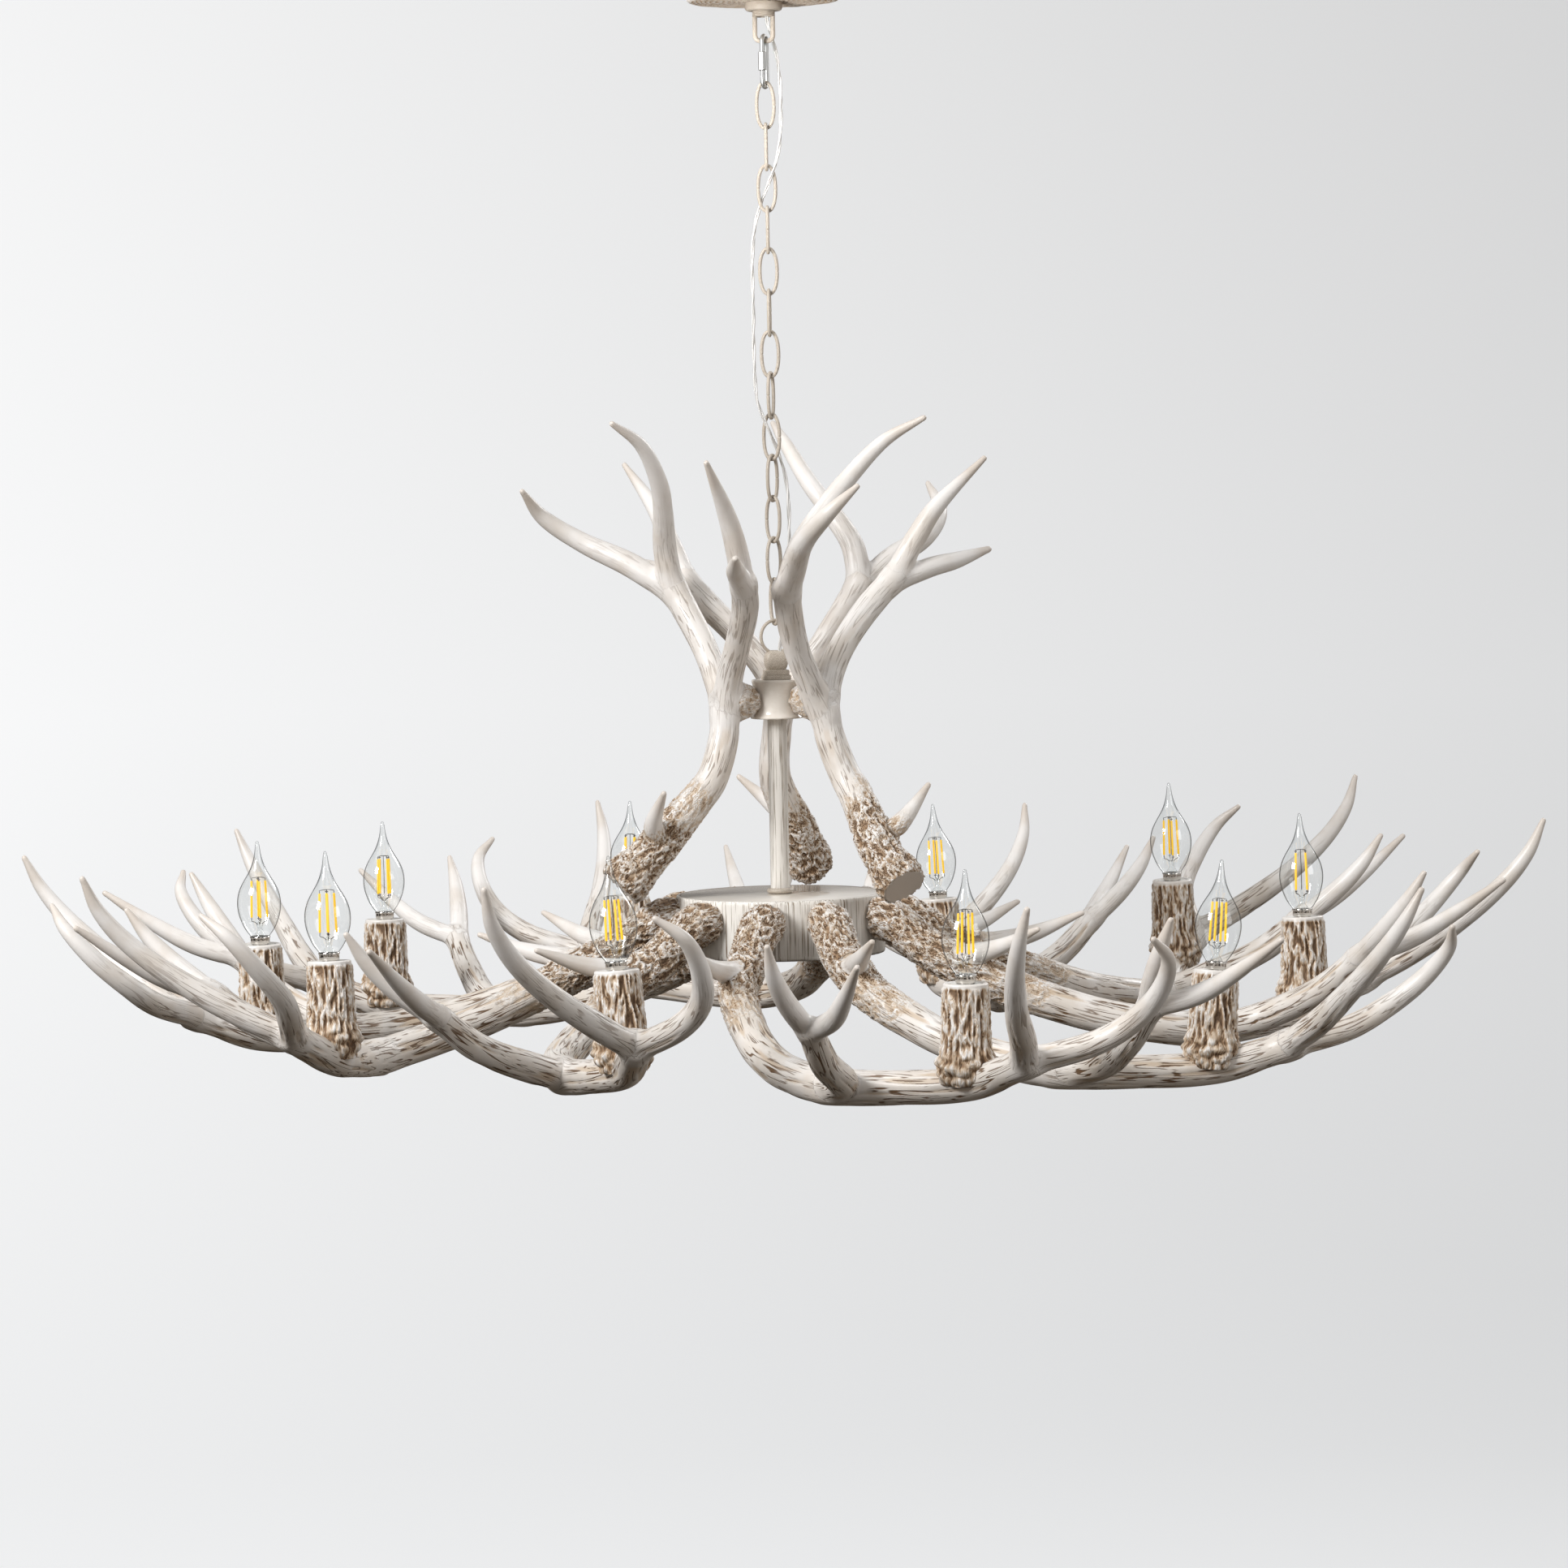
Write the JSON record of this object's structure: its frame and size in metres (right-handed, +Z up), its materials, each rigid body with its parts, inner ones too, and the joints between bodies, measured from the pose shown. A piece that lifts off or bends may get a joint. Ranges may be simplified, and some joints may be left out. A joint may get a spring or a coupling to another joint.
{
  "type": "antler chandelier",
  "caption": "Hanging chandelier of cast antlers set round a drum hub, with candle bulbs on upturned beams, crown antlers above, a chain, a cord and a ceiling canopy.",
  "frame": {"origin": "middle of the mounting strap's top face, where the canopy's seat meets the ceiling", "axes": "+Z up into the ceiling, +X to the right and +Y away from the side the light is looked at from"},
  "size_m": [1.3611, 1.3145, 0.9587],
  "materials": {
    "crown_resin": "hand-painted cast resin, smooth cream antler with tan streaks, satin",
    "antler_resin": "hand-painted cast resin, pebbled cream antler with tan hollows, satin",
    "sleeve_resin": "hand-painted cast resin with bark ridges, satin",
    "hub_resin": "cream with brown brushed grain, satin",
    "antique_cream": "antiqued cream paint rubbed brown in the hollows, satin",
    "canopy_resin": "cream with carved rings rubbed brown, satin",
    "zinc_steel": "zinc-plated sheet",
    "brass": "bright turned brass",
    "ground_green": "green-dyed steel screw",
    "holder_white": "moulded phenolic lampholder",
    "bulb_glass": "clear glass candle bulb on a nickel cap",
    "cord_sheath": "clear-over-cream flexible supply cord"
  },
  "bodies": {
    "ceiling_fitting": {"mounting_strap": "zinc_steel", "ground_screw": "ground_green", "nipple": "brass", "locknut": "brass", "collar_loop": "antique_cream", "supply_cord": "cord_sheath"},
    "canopy": {"canopy": "canopy_resin"},
    "canopy_ring_nut": {"canopy_ring_nut": "antique_cream"},
    "quick_link": {"quick_link": "antique_cream"},
    "quick_link_sleeve": {"quick_link_sleeve": "antique_cream"},
    "chain_link_01": {"chain_link_01": "antique_cream"},
    "chain_link_02": {"chain_link_02": "antique_cream"},
    "chain_link_03": {"chain_link_03": "antique_cream"},
    "chain_link_04": {"chain_link_04": "antique_cream"},
    "chain_link_05": {"chain_link_05": "antique_cream"},
    "chain_link_06": {"chain_link_06": "antique_cream"},
    "chain_link_07": {"chain_link_07": "antique_cream"},
    "chain_link_08": {"chain_link_08": "antique_cream"},
    "chain_link_09": {"chain_link_09": "antique_cream"},
    "chain_link_10": {"chain_link_10": "antique_cream"},
    "chain_link_11": {"chain_link_11": "antique_cream"},
    "chain_link_12": {"chain_link_12": "antique_cream"},
    "chain_link_13": {"chain_link_13": "antique_cream"},
    "fixture": {"hanging_ring": "antique_cream", "finial": "antique_cream", "upper_collar": "hub_resin", "stem_tube": "antique_cream", "stem_base_ring": "hub_resin", "hub_top_plate": "hub_resin", "hub_drum": "hub_resin", "hub_bottom_cover": "hub_resin", "cover_nut": "antique_cream", "antler_bosses": "antler_resin", "candle_antler_01": "antler_resin", "candle_antler_02": "antler_resin", "candle_antler_03": "antler_resin", "candle_antler_04": "antler_resin", "candle_antler_05": "antler_resin", "candle_antler_06": "antler_resin", "candle_antler_07": "antler_resin", "candle_antler_08": "antler_resin", "candle_antler_09": "antler_resin", "candle_antler_10": "antler_resin", "candle_sleeves": "sleeve_resin", "lampholders": "holder_white", "crown_antler_1": "crown_resin", "crown_antler_2": "crown_resin", "crown_antler_3": "crown_resin"},
    "bulb_01": {"bulb_01": "bulb_glass"},
    "bulb_02": {"bulb_02": "bulb_glass"},
    "bulb_03": {"bulb_03": "bulb_glass"},
    "bulb_04": {"bulb_04": "bulb_glass"},
    "bulb_05": {"bulb_05": "bulb_glass"},
    "bulb_06": {"bulb_06": "bulb_glass"},
    "bulb_07": {"bulb_07": "bulb_glass"},
    "bulb_08": {"bulb_08": "bulb_glass"},
    "bulb_09": {"bulb_09": "bulb_glass"},
    "bulb_10": {"bulb_10": "bulb_glass"}
  },
  "joints": [
    {"name": "ring_nut_drop", "type": "slide", "parent": "ceiling_fitting", "child": "canopy_ring_nut", "axis": [0, 0, -1], "range_m": [0, 0.04]},
    {"name": "canopy_drop", "type": "slide", "parent": "ceiling_fitting", "child": "canopy", "axis": [0, 0, -1], "range_m": [0, 0.04]},
    {"name": "quick_link_swing", "type": "hinge", "parent": "ceiling_fitting", "child": "quick_link", "pos_m": [0, 0, -0.0593], "axis": [1, 0, 0], "range_deg": [-5, 5], "deforming": ["supply_cord"]},
    {"name": "quick_link_nut", "type": "slide", "parent": "quick_link", "child": "quick_link_sleeve", "axis": [0, 0, 1], "range_m": [0, 0.0075]},
    {"name": "chain_swing_01", "type": "hinge", "parent": "quick_link", "child": "chain_link_01", "pos_m": [0, 0, -0.0997], "axis": [-0.342, -0.9397, 0], "range_deg": [-5, 5]},
    {"name": "chain_swing_02", "type": "hinge", "parent": "chain_link_01", "child": "chain_link_02", "pos_m": [0, 0, -0.13585], "axis": [1, 0, 0], "range_deg": [-5, 5]},
    {"name": "chain_swing_03", "type": "hinge", "parent": "chain_link_02", "child": "chain_link_03", "pos_m": [0, 0, -0.1724], "axis": [0, 1, 0], "range_deg": [-5, 5]},
    {"name": "chain_swing_04", "type": "hinge", "parent": "chain_link_03", "child": "chain_link_04", "pos_m": [0, 0, -0.20895], "axis": [-1, 0, 0], "range_deg": [-5, 5]},
    {"name": "chain_swing_05", "type": "hinge", "parent": "chain_link_04", "child": "chain_link_05", "pos_m": [0, 0, -0.2455], "axis": [0, -1, 0], "range_deg": [-5, 5]},
    {"name": "chain_swing_06", "type": "hinge", "parent": "chain_link_05", "child": "chain_link_06", "pos_m": [0, 0, -0.28205], "axis": [1, 0, 0], "range_deg": [-5, 5]},
    {"name": "chain_swing_07", "type": "hinge", "parent": "chain_link_06", "child": "chain_link_07", "pos_m": [0, 0, -0.3186], "axis": [0.0698, 0.9976, 0], "range_deg": [-5, 5]},
    {"name": "chain_swing_08", "type": "hinge", "parent": "chain_link_07", "child": "chain_link_08", "pos_m": [0, 0, -0.35515], "axis": [-0.9848, 0.1736, 0], "range_deg": [-5, 5]},
    {"name": "chain_swing_09", "type": "hinge", "parent": "chain_link_08", "child": "chain_link_09", "pos_m": [0, 0, -0.3917], "axis": [-0.309, -0.9511, 0], "range_deg": [-5, 5]},
    {"name": "chain_swing_10", "type": "hinge", "parent": "chain_link_09", "child": "chain_link_10", "pos_m": [0, 0, -0.42825], "axis": [0.8988, -0.4384, 0], "range_deg": [-5, 5]},
    {"name": "chain_swing_11", "type": "hinge", "parent": "chain_link_10", "child": "chain_link_11", "pos_m": [0, 0, -0.4648], "axis": [0.5592, 0.829, 0], "range_deg": [-5, 5]},
    {"name": "chain_swing_12", "type": "hinge", "parent": "chain_link_11", "child": "chain_link_12", "pos_m": [0, 0, -0.50135], "axis": [-0.7431, 0.6691, 0], "range_deg": [-5, 5]},
    {"name": "chain_swing_13", "type": "hinge", "parent": "chain_link_12", "child": "chain_link_13", "pos_m": [0, 0, -0.5379], "axis": [-0.766, -0.6428, 0], "range_deg": [-5, 5]},
    {"name": "fixture_swing", "type": "hinge", "parent": "chain_link_13", "child": "fixture", "pos_m": [0, 0, -0.57445], "axis": [0.4695, -0.8829, 0], "range_deg": [-5, 5]},
    {"name": "bulb_unscrew_01", "type": "slide", "parent": "fixture", "child": "bulb_01", "axis": [-0.0158, 0.0279, 0.9995], "range_m": [0, 0.03]},
    {"name": "bulb_unscrew_02", "type": "slide", "parent": "fixture", "child": "bulb_02", "axis": [-0.0254, -0.039, 0.9989], "range_m": [0, 0.03]},
    {"name": "bulb_unscrew_03", "type": "slide", "parent": "fixture", "child": "bulb_03", "axis": [-0.0424, 0.0344, 0.9985], "range_m": [0, 0.03]},
    {"name": "bulb_unscrew_04", "type": "slide", "parent": "fixture", "child": "bulb_04", "axis": [0.0151, 0.009, 0.9998], "range_m": [0, 0.03]},
    {"name": "bulb_unscrew_05", "type": "slide", "parent": "fixture", "child": "bulb_05", "axis": [-0.0052, 0.019, 0.9998], "range_m": [0, 0.03]},
    {"name": "bulb_unscrew_06", "type": "slide", "parent": "fixture", "child": "bulb_06", "axis": [-0.0051, -0.0181, 0.9998], "range_m": [0, 0.03]},
    {"name": "bulb_unscrew_07", "type": "slide", "parent": "fixture", "child": "bulb_07", "axis": [-0.0197, 0.048, 0.9987], "range_m": [0, 0.03]},
    {"name": "bulb_unscrew_08", "type": "slide", "parent": "fixture", "child": "bulb_08", "axis": [-0.055, 0.0397, 0.9977], "range_m": [0, 0.03]},
    {"name": "bulb_unscrew_09", "type": "slide", "parent": "fixture", "child": "bulb_09", "axis": [0.0091, -0.0111, 0.9999], "range_m": [0, 0.03]},
    {"name": "bulb_unscrew_10", "type": "slide", "parent": "fixture", "child": "bulb_10", "axis": [0.0735, 0.053, 0.9959], "range_m": [0, 0.03]}
  ],
  "couplings": [
    {"joint": "canopy_drop", "follows": "ring_nut_drop", "ratio": 1}
  ]
}
